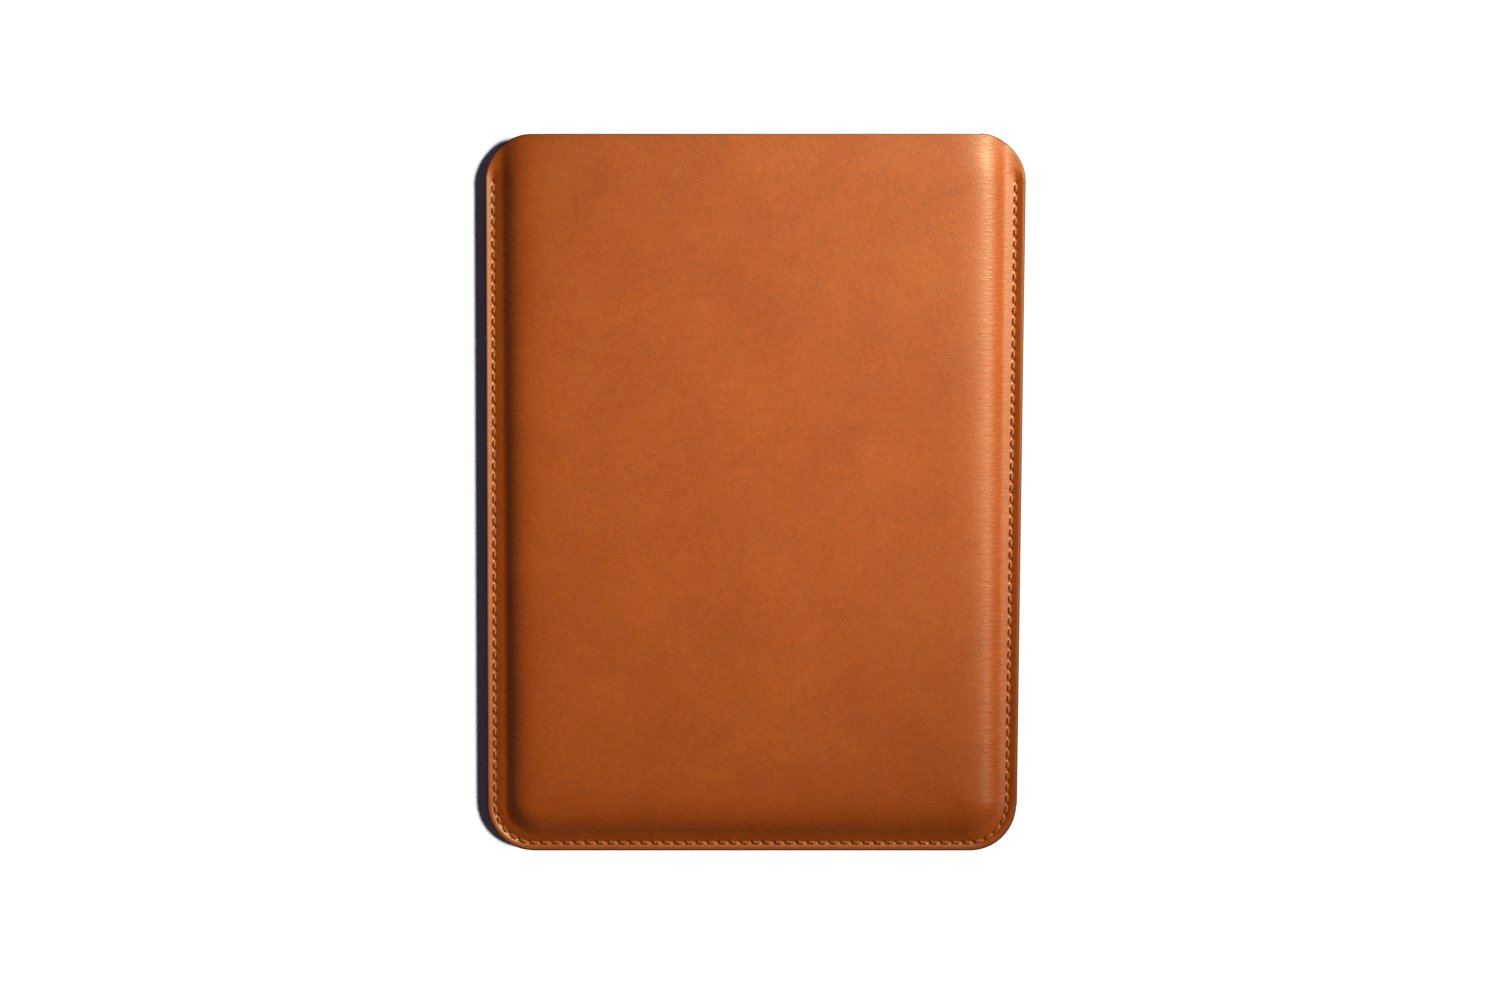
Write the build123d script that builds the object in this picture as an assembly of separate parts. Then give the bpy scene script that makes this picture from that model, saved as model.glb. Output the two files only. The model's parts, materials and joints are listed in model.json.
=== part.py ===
"""Seven-inch e-reader stored in a stitched leather slip sleeve.

Row frame: X across the sleeve, +Y towards the open mouth, +Z up from the surface that it lies on.
The origin is the middle of the sleeve's footprint, on that surface. All sizes are in millimetres.
The reader lies screen up, with its charging end at the mouth, and slides out along +Y.
"""
import math
import os

from build123d import *

# Sleeve: two moulded leather panels with felt linings, sewn together on three sides.
SLEEVE_LENGTH = 191.0
MOUTH_WIDTH = 145.2
BASE_WIDTH = 141.6
SLEEVE_CORNER_R = 12.5
LEATHER = 1.4
FELT = 1.0
SEAM_FELT = 0.5          # thickness of each felt where the seam presses it
FELT_SETBACK = 0.4       # how far the felt's cut edge lies inside the leather's
CREASE_R = 1.5           # hollow between the flange and the moulded pocket
POCKET_GAP = 0.3         # running gap between felt and reader
CLOSED_END_GAP = 0.6
STITCH_PITCH = 2.96
STITCH_INSET = 2.2
STITCH_GAP = 0.55        # bare leather between two stitches
THREAD_R = 0.32
THREAD_LEG_R = 0.24
PAST_MOUTH = 10.0        # how far a form is drawn beyond the mouth before it is trimmed

# Reader housing.
READER_WIDTH = 125.0
READER_LENGTH = 174.0
READER_THICK = 8.0
READER_CORNER_R = 7.0
BACK_EDGE_R = 3.2
FRONT_EDGE_R = 1.8
WALL = 3.2               # side wall below the lens ledge
RIM = 2.2                # rim round the lens
FLOOR = 1.3
LENS_GAP = 0.1

# Layers of the reader, from the floor up.
BATTERY_TAPE_T = 0.15
BATTERY_T = 2.8
BOARD_Z = 2.2
BOARD_T = 0.8
FRAME_Z = 4.3
FRAME_T = 0.9
DISPLAY_TAPE_T = 0.1
BACKPLANE_T = 0.5
FILM_T = 0.3
OPTICAL_T = 0.1
LIGHT_GUIDE_T = 0.6
TOUCH_T = 0.25
MASK_T = 0.1

# Picture area, which sits nearer the far end of the reader because of the chin.
PICTURE_WIDTH = 103.6
PICTURE_LENGTH = 138.2
PICTURE_Y = -5.5

# Charging end: port, status light and power button.
PORT_WIDTH = 8.94
PORT_HEIGHT = 3.26
PORT_DEPTH = 7.3
PORT_SHEET = 0.3
PORT_Z = 3.2
PORT_RECESS = 0.5
PORT_PLAY = 0.08
CONTACTS_PER_SIDE = 12
CONTACT_PITCH = 0.5
BUTTON_X = 22.0
BUTTON_Z = 3.9
BUTTON_WIDTH = 13.0
BUTTON_HEIGHT = 2.2
BUTTON_PROUD = 0.3
BUTTON_PLAY = 0.12
BUTTON_EDGE_R = 0.3
BUTTON_FLANGE = (15.2, 3.6, 0.7)         # width, height and thickness of the stop behind the wall
BUTTON_STEM = (2.4, 1.4, 0.8)            # width, height and length of the post behind the flange
LIGHT_X = 12.5
LIGHT_R = 0.7
LIGHT_PIPE_START = 81.3
TONGUE = (6.7, 5.4, 0.7)
TONGUE_CHAMFER = 0.15
PORT_BLOCK = 1.4
CONTACT = (0.25, 4.0, 0.05)
SEAL_SIZE = (10.2, 3.8)
SEAL_LENGTH = 1.15
WALL_GAP = 0.05                          # how far a part stops short of a wall's face
FLANGE_GAP = 0.1

# Fasteners: screws are (head radius, head height, shank radius), bosses (radius, level of the hole's end).
FRAME_SCREW = (1.2, 0.5, 0.6)
BOARD_SCREW = (1.3, 0.6, 0.7)
FRAME_BOSS = (1.7, 1.9)
BOARD_BOSS = (1.8, 0.8)
TIP_GAP = 0.2
SCREW_PLAY = 0.15
FRAME_SCREW_PLACES = [(x, y) for y in (-76.0, -38.0, 0.0, 38.0, 76.0) for x in (-57.2, 57.2)]
BOARD_SCREW_PLACES = ((-50.0, 27.0), (50.0, 27.0), (-50.0, 76.5), (50.0, 76.5), (0.0, 48.0))

# Levels and outlines that follow from the sizes above.
FLARE = (MOUTH_WIDTH - BASE_WIDTH) / 2 / SLEEVE_LENGTH
SEAM_Z = READER_THICK / 2 + POCKET_GAP + FELT + LEATHER
READER_Z = SEAM_Z - READER_THICK / 2
HALF_W = READER_WIDTH / 2
HALF_L = READER_LENGTH / 2
CAVITY_HALF_L = HALF_L - WALL
PORT_FRONT = HALF_L - PORT_RECESS
PORT_BACK = PORT_FRONT - PORT_DEPTH
FLANGE_Y = CAVITY_HALF_L - FLANGE_GAP
END_OPENINGS = (
    (PORT_WIDTH + 2 * PORT_PLAY, PORT_HEIGHT + 2 * PORT_PLAY, 0.0, PORT_Z),
    (BUTTON_WIDTH + 2 * BUTTON_PLAY, BUTTON_HEIGHT + 2 * BUTTON_PLAY, BUTTON_X, BUTTON_Z),
    (2 * LIGHT_R, 2 * LIGHT_R, LIGHT_X, BUTTON_Z),
)
BACKPLANE_Z = FRAME_Z + FRAME_T + DISPLAY_TAPE_T
FILM_Z = BACKPLANE_Z + BACKPLANE_T
LOWER_ADHESIVE_Z = FILM_Z + FILM_T
LIGHT_GUIDE_Z = LOWER_ADHESIVE_Z + OPTICAL_T
UPPER_ADHESIVE_Z = LIGHT_GUIDE_Z + LIGHT_GUIDE_T
TOUCH_Z = UPPER_ADHESIVE_Z + OPTICAL_T
MASK_Z = TOUCH_Z + TOUCH_T
LENS_Z = MASK_Z + MASK_T
LENS_T = READER_THICK - LENS_Z
BOARD_TOP = BOARD_Z + BOARD_T
BATTERY_Z = FLOOR + BATTERY_TAPE_T

# Display layers and the parts on them: (width, low y, high y).
BACKPLANE = (110.0, -78.5, 72.5)
LIGHT_GUIDE = (108.0, -77.5, 68.5)
FILM = (106.0, -76.0, 65.0)
TOUCH = (117.0, -82.0, 78.5)
LED_STRIP = (104.0, 67.1, 71.3)
DISPLAY_TAPE_WIDTH = 3.0
MASK_GAP = 0.05
MASK_MARGIN = 0.4
LED_COUNT = 17
LED_PITCH = 6.0
LED_SIZE = (3.0, 1.2)
LED_GAP = 0.1
DISPLAY_DRIVER = (30.0, 1.4, 0.3)
DISPLAY_DRIVER_AT = (-20.0, 67.2)

# Mid frame: its play in the tub, its lightening windows and the notches over the end's parts.
FRAME_PLAY = 0.3
FRAME_WINDOW = (26.0, 30.0)
FRAME_WINDOW_R = 4.0
FRAME_WINDOW_PLACES = [(x, y) for x in (-34.0, 0.0, 34.0) for y in (-55.0, -15.0)]
END_NOTCH_Y = 77.8
END_NOTCH_XS = ((-5.6, 5.6), (11.0, 30.4))

# Main board and what stands on it: packages and coils are (width, length, height, x, y).
BOARD_HALF_W = 54.0
BOARD_Y = (22.0, 81.0)
BOARD_R = 1.5
PORT_NOTCH_PLAY = (0.3, 0.2)             # beside and behind the port
PROCESSOR = (13.0, 13.0, 0.9, 15.0, 50.0)
MEMORY_CHIPS = ((9.5, 11.0, 0.8, 32.0, 43.5), (9.5, 11.0, 0.8, 32.0, 56.5))
POWER_CHIP = (6.0, 6.0, 0.7, -8.0, 38.0)
HALL_SENSOR = (1.6, 2.9, 0.8, 46.0, 50.0)
STATUS_LED = (1.0, 0.6, 0.6, LIGHT_X, 80.3)
CHIP_CHAMFER = 0.1
SHIELD_AT = (22.0, 50.0)
SHIELD_SIZE = (34.0, 28.0)
SHIELD_SHEET = 0.2
SHIELD_TOP = 4.2
SHIELD_R = 1.0
LID_GAP = 0.3
MODULE_AT = (-43.0, 50.0)
MODULE_BOARD = (14.0, 12.0, 0.3)
MODULE_CAN = (12.6, 9.0, 0.7)
MODULE_CAN_SHIFT = -0.8
PASSIVE_SIZE = (1.0, 0.5, 0.45)
PASSIVE_PITCH = 1.9
PASSIVE_ROWS = ((-34.0, 32.0, 9), (-30.0, 44.0, 6), (-12.0, 58.0, 5), (28.0, 31.0, 8))
COIL_SIZE = (3.0, 3.0, 1.0)
COIL_PLACES = ((-22.0, 37.5), (-16.5, 37.5))
SMALL_R = 0.5
SWITCH_SIZE = (4.8, 2.4, 1.8)
SWITCH_Y = 79.4
PLUNGER = (2.0, 1.2, 1.0)
CONNECTOR_H = 0.8

# Battery, the ribs beside it, its tapes and its protection board.
BATTERY_SIZE = (64.0, 92.0)
BATTERY_Y = -34.0
BATTERY_R = 3.0
BATTERY_EDGE_R = 0.8
BATTERY_BOARD = (58.0, 4.5, 1.0)
BATTERY_BOARD_Z = 2.0
BATTERY_BOARD_GAP = 0.2
BATTERY_BOARD_PART = (3.0, 2.0, 0.7)
BATTERY_BOARD_PART_XS = (-18.0, -12.0, 8.0)
RIB = (0.9, 82.0, 1.4)
RIB_OFFSET = 1.6                         # from the cell's side to the rib's middle
BATTERY_TAPE = (12.0, 80.0)
BATTERY_TAPE_XS = (-18.0, 18.0)

# Printed antenna: a bar along x and fingers that stand on it.
ANTENNA_TRACK = 1.2
ANTENNA_LENGTH = 24.0
ANTENNA_AT = (-44.0, 8.0)
FINGER_LENGTH = 9.0
FINGER_PITCH = 5.0
FINGER_COUNT = 5
FINGER_AT = (-55.0, 12.0)

# The battery lead, as (y, z) of each wire's route from the protection board to its socket.
LEAD_X = -24.0
LEAD_WIRE_R = 0.4
LEAD_PITCH = 1.0
LEAD_BEND_SHARE = 0.45                   # of the shorter run, taken up by a bend on one side
LEAD_ROUTE = ((16.7, 2.5), (19.2, 2.5), (21.9, 3.6), (25.0, 3.6))

# Ribbon cables: middle x, width, start y, start z, y of the drop, y of the end.
FLEX_T = 0.12
FLEX_BEND_R = 0.7
DISPLAY_FLEX = (-20.0, 24.0, 70.4, FILM_Z, 75.7, 65.6)
TOUCH_FLEX = (40.0, 10.0, 75.5, TOUCH_Z - FLEX_T, 80.0, 71.6)
LIGHT_FLEX = (-41.0, 6.0, 71.0, UPPER_ADHESIVE_Z, 78.2, 70.6)
FLEX_SLOT_PLAY = 1.0
FLEX_SLOT_LENGTH = 2.2
FLEX_SLOT_SHIFT = -0.2
FLEX_SLOT_R = 0.6
LEAD_SOCKET = (5.0, 3.2, 1.1)
RIBBON_SOCKETS = ((DISPLAY_FLEX, 3.6), (TOUCH_FLEX, 3.0), (LIGHT_FLEX, 3.0))
SOCKET_SIDE = 1.0
SOCKET_PAST_END = 0.4

# A place on the seam has its z along the seam and its x up; this lays a stitch drawn along x there.
FLAT_STITCH = Location(Plane(origin=(0, 0, 0), x_dir=(0, 0, 1), z_dir=(1, 0, 0)))


def slab(width, length, thick, z, x=0.0, y=0.0, r=0.0):
    """Flat plate with its underside at z, centred on x, y, with plan corner radius r."""
    outline = RectangleRounded(width, length, r) if r else Rectangle(width, length)
    return Pos(x, y, z) * extrude(outline, thick)


def span_slab(size, thick, z, r=0.0):
    """Plate of size (width, low y, high y) with its underside at z."""
    width, low, high = size
    return slab(width, high - low, thick, z, y=(low + high) / 2, r=r)


def post(x, y, low, high, r):
    """Upright round post between two levels."""
    return Pos(x, y, (low + high) / 2) * Cylinder(r, high - low)


def end_slot(width, height, x, z, low_y, high_y):
    """Round-ended bar along Y, or a round rod where the width is the height."""
    outline = SlotOverall(width, height) if width > height else Circle(height / 2)
    return Pos(x, high_y, z) * extrude(Plane.XZ * outline, high_y - low_y)


def group(solids):
    """Several separate solids of one kind, as one node."""
    return Compound(list(solids))


# ---- Sleeve, modelled with the seam plane at z = 0 ----

def sleeve_outline(inset=0.0, past_mouth=0.0):
    """Plan of a panel: narrower at the base, with four rounded corners.

    past_mouth carries the sides straight on beyond the mouth, with square corners there.
    """
    low = inset - SLEEVE_LENGTH / 2
    high = SLEEVE_LENGTH / 2 + (past_mouth or -inset)
    base = BASE_WIDTH / 2 - inset
    top = base + FLARE * (SLEEVE_LENGTH + past_mouth)
    plan = make_face(Polyline((-base, low), (base, low), (top, high), (-top, high), close=True))
    corners = plan.vertices().group_by(Axis.Y)
    rounded = corners[0] if past_mouth else corners[0] + corners[-1]
    return fillet(rounded, SLEEVE_CORNER_R - inset)


def pocket_form(wall, base_z):
    """The reader's pocket grown outwards by wall: closed at the base, running out past the mouth."""
    grown = POCKET_GAP + wall
    closed = -HALF_L - CLOSED_END_GAP - wall
    opened = SLEEVE_LENGTH / 2 + PAST_MOUTH
    plan = Pos(0, (closed + opened) / 2) * Rectangle(2 * (HALF_W + grown), opened - closed)
    plan = fillet(plan.vertices().group_by(Axis.Y)[0], READER_CORNER_R + grown)
    form = Pos(0, 0, base_z) * extrude(plan, READER_THICK / 2 + grown - base_z)
    top_edges = form.faces().sort_by(Axis.Z)[-1].edges()
    return fillet(top_edges.filter_by(lambda e: e.center().Y < opened - 0.1), FRONT_EDGE_R + grown)


def leather_panel():
    """Front panel: a sewn flange round a moulded pocket that is open at the mouth."""
    skin = FELT + LEATHER
    top = SEAM_FELT + LEATHER
    flange = Pos(0, 0, SEAM_FELT) * extrude(sleeve_outline(past_mouth=PAST_MOUTH), LEATHER)
    body = flange + pocket_form(skin, SEAM_FELT)
    reach = HALF_W + POCKET_GAP + skin + 0.1
    closed = -HALF_L - CLOSED_END_GAP - skin - 0.1
    feet = body.edges().filter_by_position(Axis.Z, top - 0.01, top + 0.01).filter_by(
        lambda e: abs(e.center().X) < reach and e.center().Y > closed
    )
    body = fillet(feet.filter_by(lambda e: e.center().Y < SLEEVE_LENGTH / 2), CREASE_R)
    body = body & extrude(sleeve_outline(), SEAM_Z * 2)
    return body - pocket_form(FELT, SEAM_FELT - 1)


def felt_lining():
    """Front lining: felt that follows the pocket and is pressed flat in the seam."""
    body = extrude(sleeve_outline(past_mouth=PAST_MOUTH), SEAM_FELT) + pocket_form(FELT, 0)
    body = body & extrude(sleeve_outline(FELT_SETBACK), SEAM_Z * 2)
    return body - pocket_form(0, -1)


def seam_path():
    """Stitch line: down one side, round the base and up the other side, open at the mouth."""
    end_y = SLEEVE_LENGTH / 2 - SLEEVE_CORNER_R
    base = BASE_WIDTH / 2 - STITCH_INSET
    end_x = base + FLARE * (end_y + SLEEVE_LENGTH / 2)
    low = -SLEEVE_LENGTH / 2 + STITCH_INSET
    return FilletPolyline(
        (-end_x, end_y), (-base, low), (base, low), (end_x, end_y),
        radius=SLEEVE_CORNER_R - STITCH_INSET,
    )


def stitching():
    """One row of stitches: each a short bar on the leather with a leg down its needle hole."""
    path = seam_path()
    count = round(path.length / STITCH_PITCH)
    bar = path.length / count - STITCH_GAP - 2 * THREAD_R
    stitch = Rot(0, 90, 0) * Cylinder(THREAD_R, bar)
    for end in (-bar / 2, bar / 2):
        stitch += Pos(end, 0, 0) * Sphere(THREAD_R)
    top = SEAM_FELT + LEATHER
    stitch += post(-bar / 2, 0, -top, 0, THREAD_LEG_R)
    places = (path.location_at((i + 0.5) / count, x_dir=(0, 0, 1)) for i in range(count))
    return group(Pos(0, 0, top) * place * FLAT_STITCH * stitch for place in places)


def in_sleeve(shape, back=False):
    """Puts a seam-plane shape into the row frame, turned over for the back half."""
    return Pos(0, 0, SEAM_Z) * (mirror(shape, about=Plane.XY) if back else shape)


# ---- Reader, modelled with its back face at z = 0 ----

def plate(inset, thick, z):
    """Plate that follows the housing's plan, set in by inset on every side."""
    return slab(2 * (HALF_W - inset), 2 * (HALF_L - inset), thick, z, r=READER_CORNER_R - inset)


def with_bosses(body, places, boss, top, hole_r):
    """Adds upright screw bosses to the tub's floor, each with a blind hole from its top."""
    r, hole_end = boss
    for x, y in places:
        body += post(x, y, FLOOR, top, r)
        body -= post(x, y, hole_end, top, hole_r)
    return body


def rear_cover():
    """Tub with rounded back edges, a ledge for the lens, bosses, ribs and the end openings."""
    body = plate(0, READER_THICK, 0)
    body = fillet(body.faces().sort_by(Axis.Z)[0].edges(), BACK_EDGE_R)
    body = fillet(body.faces().sort_by(Axis.Z)[-1].edges(), FRONT_EDGE_R)
    body -= plate(RIM, READER_THICK, MASK_Z)
    body -= plate(WALL, READER_THICK, FLOOR)
    body = with_bosses(body, FRAME_SCREW_PLACES, FRAME_BOSS, FRAME_Z, FRAME_SCREW[2])
    body = with_bosses(body, BOARD_SCREW_PLACES, BOARD_BOSS, BOARD_Z, BOARD_SCREW[2])
    rib_x = BATTERY_SIZE[0] / 2 + RIB_OFFSET
    for x in (-rib_x, rib_x):
        body += slab(*RIB, FLOOR, x=x, y=BATTERY_Y)
    for width, height, x, z in END_OPENINGS:
        body -= end_slot(width, height, x, z, CAVITY_HALF_L - 1, HALF_L + 1)
    return body


def lens_gasket():
    """Adhesive seal ring on the ledge, under the lens."""
    return plate(RIM + LENS_GAP, MASK_T, MASK_Z) - plate(WALL, MASK_T, MASK_Z)


def bezel_mask():
    """Printed border behind the lens, open over the picture."""
    width, length = (side + 2 * MASK_MARGIN for side in (PICTURE_WIDTH, PICTURE_LENGTH))
    return plate(WALL + MASK_GAP, MASK_T, MASK_Z) - slab(width, length, MASK_T, MASK_Z, y=PICTURE_Y)


def cover_lens():
    """Clear front plate, flush with the rim."""
    return plate(RIM + LENS_GAP, LENS_T, LENS_Z)


def display_tape():
    """Foam tape frame that holds the display to the mid frame."""
    width, low, high = BACKPLANE
    opening = (width - 2 * DISPLAY_TAPE_WIDTH, low + DISPLAY_TAPE_WIDTH, high - DISPLAY_TAPE_WIDTH)
    z = FRAME_Z + FRAME_T
    return span_slab(BACKPLANE, DISPLAY_TAPE_T, z, 1) - span_slab(opening, DISPLAY_TAPE_T, z, 1)


def ribbon(flex):
    """Flat cable that leaves a panel edge, drops through the mid frame and turns back to the board."""
    x, width, start_y, start_z, drop_y, end_y = flex
    top_z = start_z + FLEX_T / 2
    low_z = BOARD_TOP + CONNECTOR_H + FLEX_T / 2
    line = FilletPolyline((start_y, top_z), (drop_y, top_z), (drop_y, low_z), (end_y, low_z),
                          radius=FLEX_BEND_R)
    profile = Plane(origin=(x + width / 2, 0, 0), x_dir=(0, 1, 0), z_dir=(1, 0, 0))
    return extrude(profile * trace(line, FLEX_T), -width)


def led_strip():
    """Lamp strip on the light guide's edge, with its ribbon tail."""
    tail = ribbon((*LIGHT_FLEX[:3], UPPER_ADHESIVE_Z - FLEX_T + OPTICAL_T, *LIGHT_FLEX[4:]))
    return span_slab(LED_STRIP, OPTICAL_T, UPPER_ADHESIVE_Z, SMALL_R) + tail


def front_light_leds():
    """Row of lamps that shine into the light guide's edge."""
    y = LIGHT_GUIDE[2] + LED_GAP + LED_SIZE[1] / 2
    first = -(LED_COUNT - 1) / 2 * LED_PITCH
    height = LIGHT_GUIDE_T - FLEX_T + OPTICAL_T
    return group(
        slab(*LED_SIZE, height, LIGHT_GUIDE_Z, x=first + i * LED_PITCH, y=y) for i in range(LED_COUNT)
    )


def flex_slot(flex):
    """Opening in the mid frame round a ribbon's drop."""
    x, width, _, _, drop_y, _ = flex
    return slab(width + 2 * FLEX_SLOT_PLAY, FLEX_SLOT_LENGTH, FRAME_T, FRAME_Z,
                x=x, y=drop_y + FLEX_SLOT_SHIFT, r=FLEX_SLOT_R)


def mid_frame():
    """Die-cast plate that stiffens the reader and carries the display."""
    body = plate(WALL + FRAME_PLAY, FRAME_T, FRAME_Z)
    for low_x, high_x in END_NOTCH_XS:
        notch = span_slab((high_x - low_x, END_NOTCH_Y, HALF_L), FRAME_T, FRAME_Z)
        body -= Pos((low_x + high_x) / 2, 0, 0) * notch
    for flex in (DISPLAY_FLEX, TOUCH_FLEX, LIGHT_FLEX):
        body -= flex_slot(flex)
    for x, y in FRAME_WINDOW_PLACES:
        body -= slab(*FRAME_WINDOW, FRAME_T, FRAME_Z, x=x, y=y, r=FRAME_WINDOW_R)
    for x, y in FRAME_SCREW_PLACES:
        body -= post(x, y, FRAME_Z, FRAME_Z + FRAME_T, FRAME_SCREW[2] + SCREW_PLAY)
    return body


def screw(x, y, seat_z, tip_z, size):
    """Small cylinder-head screw with a cross recess in the upper half of its head."""
    head_r, head_h, shank_r = size
    body = post(x, y, seat_z, seat_z + head_h, head_r) + post(x, y, tip_z, seat_z, shank_r)
    recess = Box(head_r * 1.2, head_r * 0.28, head_h / 2)
    for turn in (0, 90):
        body -= Pos(x, y, seat_z + 0.75 * head_h) * Rot(0, 0, turn) * recess
    return body


def frame_screws():
    """Screws through the mid frame into the cover's side bosses."""
    tip_z = FRAME_BOSS[1] + TIP_GAP
    return group(screw(x, y, FRAME_Z + FRAME_T, tip_z, FRAME_SCREW) for x, y in FRAME_SCREW_PLACES)


def board_screws():
    """Screws through the main board into the floor bosses."""
    tip_z = BOARD_BOSS[1] + TIP_GAP
    return group(screw(x, y, BOARD_TOP, tip_z, BOARD_SCREW) for x, y in BOARD_SCREW_PLACES)


def main_board():
    """Main circuit board, notched round the port, with its screw holes."""
    side, behind = PORT_NOTCH_PLAY
    body = span_slab((2 * BOARD_HALF_W, *BOARD_Y), BOARD_T, BOARD_Z, BOARD_R)
    body -= span_slab((PORT_WIDTH + 2 * side, PORT_BACK - behind, HALF_L), BOARD_T, BOARD_Z)
    for x, y in BOARD_SCREW_PLACES:
        body -= post(x, y, BOARD_Z, BOARD_TOP, BOARD_SCREW[2] + SCREW_PLAY)
    return body


def chip(width, length, height, x, y):
    """Package on the main board, with a chamfered top edge."""
    body = slab(width, length, height, BOARD_TOP, x=x, y=y)
    return chamfer(body.faces().sort_by(Axis.Z)[-1].edges(), CHIP_CHAMFER)


def shield_frame():
    """Soldered fence round the processor and memory."""
    x, y = SHIELD_AT
    height = SHIELD_TOP - SHIELD_SHEET - BOARD_TOP
    width, length = (side - 2 * SHIELD_SHEET for side in SHIELD_SIZE)
    outer = slab(*SHIELD_SIZE, height, BOARD_TOP, x=x, y=y, r=SHIELD_R)
    return outer - slab(width, length, height, BOARD_TOP, x=x, y=y, r=SHIELD_R - SHIELD_SHEET)


def shield_lid():
    """Pressed lid that clips over the fence."""
    x, y = SHIELD_AT
    width, length = (side + 2 * SHIELD_SHEET for side in SHIELD_SIZE)
    low = BOARD_TOP + LID_GAP
    outer = slab(width, length, SHIELD_TOP - low, low, x=x, y=y, r=SHIELD_R + SHIELD_SHEET)
    return outer - slab(*SHIELD_SIZE, SHIELD_TOP - SHIELD_SHEET - low, low, x=x, y=y, r=SHIELD_R)


def wireless_module():
    """Radio module: carrier board with its own can."""
    x, y = MODULE_AT
    can = slab(*MODULE_CAN, BOARD_TOP + MODULE_BOARD[2], x=x, y=y + MODULE_CAN_SHIFT, r=SMALL_R)
    return slab(*MODULE_BOARD, BOARD_TOP, x=x, y=y) + can


def board_passives():
    """Rows of small capacitors, resistors and coils."""
    places = [(x + PASSIVE_PITCH * i, y) for x, y, count in PASSIVE_ROWS for i in range(count)]
    small = [slab(*PASSIVE_SIZE, BOARD_TOP, x=x, y=y) for x, y in places]
    coils = [slab(*COIL_SIZE, BOARD_TOP, x=x, y=y, r=SMALL_R) for x, y in COIL_PLACES]
    return group(small + coils)


def board_connectors():
    """Sockets for the three ribbons and the battery lead."""
    lead_y = LEAD_ROUTE[-1][0] + LEAD_SOCKET[1] / 2
    sockets = [slab(*LEAD_SOCKET, BOARD_TOP, x=LEAD_X, y=lead_y)]
    for flex, length in RIBBON_SOCKETS:
        x, width, _, _, _, end_y = flex
        y = end_y + length / 2 - SOCKET_PAST_END
        sockets.append(slab(width + 2 * SOCKET_SIDE, length, CONNECTOR_H, BOARD_TOP, x=x, y=y))
    return group(sockets)


def battery_cell():
    """Pouch cell with soft edges."""
    body = slab(*BATTERY_SIZE, BATTERY_T, BATTERY_Z, y=BATTERY_Y, r=BATTERY_R)
    return fillet(body.faces().sort_by(Axis.Z)[-1].edges(), BATTERY_EDGE_R)


def battery_board():
    """Protection board folded against the cell's end, with its three parts."""
    y = BATTERY_Y + BATTERY_SIZE[1] / 2 + BATTERY_BOARD_GAP + BATTERY_BOARD[1] / 2
    body = slab(*BATTERY_BOARD, BATTERY_BOARD_Z, y=y)
    for x in BATTERY_BOARD_PART_XS:
        body += slab(*BATTERY_BOARD_PART, BATTERY_BOARD_Z + BATTERY_BOARD[2], x=x, y=y)
    return body


def bend_radii(points):
    """Bend radius at each inner point, from the share of the shorter run that the bend takes up."""
    radii = []
    for before, here, after in zip(points, points[1:], points[2:]):
        run_in, run_out = Vector(*here) - Vector(*before), Vector(*after) - Vector(*here)
        half_turn = math.radians(run_in.get_angle(run_out)) / 2
        radii.append(LEAD_BEND_SHARE * min(run_in.length, run_out.length) / math.tan(half_turn))
    return radii


def battery_lead():
    """Three short wires side by side from the protection board to the main board."""
    wires = []
    for x in (LEAD_X - LEAD_PITCH, LEAD_X, LEAD_X + LEAD_PITCH):
        points = [(x, y, z) for y, z in LEAD_ROUTE]
        line = FilletPolyline(*points, radius=bend_radii(points))
        start = Plane(origin=line @ 0, z_dir=line % 0)
        wires.append(sweep(start * Circle(LEAD_WIRE_R), path=line))
    return group(wires)


def battery_tape():
    """Two strips of stretch-release tape under the cell."""
    return group(slab(*BATTERY_TAPE, BATTERY_TAPE_T, FLOOR, x=x, y=BATTERY_Y) for x in BATTERY_TAPE_XS)


def antenna_flex():
    """Printed antenna on the floor: a bar with a row of fingers."""
    x, y = ANTENNA_AT
    body = slab(ANTENNA_LENGTH, ANTENNA_TRACK, FLEX_T, FLOOR, x=x, y=y)
    first_x, finger_y = FINGER_AT
    for i in range(FINGER_COUNT):
        body += slab(ANTENNA_TRACK, FINGER_LENGTH, FLEX_T, FLOOR, x=first_x + i * FINGER_PITCH, y=finger_y)
    return body


def port_tube(sheet_in, low_y, high_y):
    """Bar with the port's stadium section, set in by sheet_in."""
    return end_slot(PORT_WIDTH - 2 * sheet_in, PORT_HEIGHT - 2 * sheet_in, 0, PORT_Z, low_y, high_y)


def usb_shell():
    """Drawn steel shell of the charging port."""
    return port_tube(0, PORT_BACK, PORT_FRONT) - port_tube(PORT_SHEET, PORT_BACK, PORT_FRONT)


def usb_insulator():
    """Moulded block at the back of the shell with the tongue that carries the contacts."""
    block_end = PORT_BACK + PORT_BLOCK
    tongue = Pos(0, block_end + TONGUE[1] / 2, PORT_Z) * Box(*TONGUE)
    tongue = chamfer(tongue.faces().sort_by(Axis.Y)[-1].edges(), TONGUE_CHAMFER)
    return port_tube(PORT_SHEET, PORT_BACK, block_end) + tongue


def usb_contacts():
    """Plated contacts on both faces of the tongue."""
    first = -(CONTACTS_PER_SIDE - 1) / 2 * CONTACT_PITCH
    y = PORT_BACK + PORT_BLOCK + TONGUE[1] / 2
    lift = (TONGUE[2] + CONTACT[2]) / 2
    return group(
        Pos(first + i * CONTACT_PITCH, y, z) * Box(*CONTACT)
        for z in (PORT_Z - lift, PORT_Z + lift) for i in range(CONTACTS_PER_SIDE)
    )


def usb_seal():
    """Rubber ring that seals the port's shell inside the end wall."""
    high_y = CAVITY_HALF_L - WALL_GAP
    low_y = high_y - SEAL_LENGTH
    return end_slot(*SEAL_SIZE, 0, PORT_Z, low_y, high_y) - port_tube(0, low_y, high_y)


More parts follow.
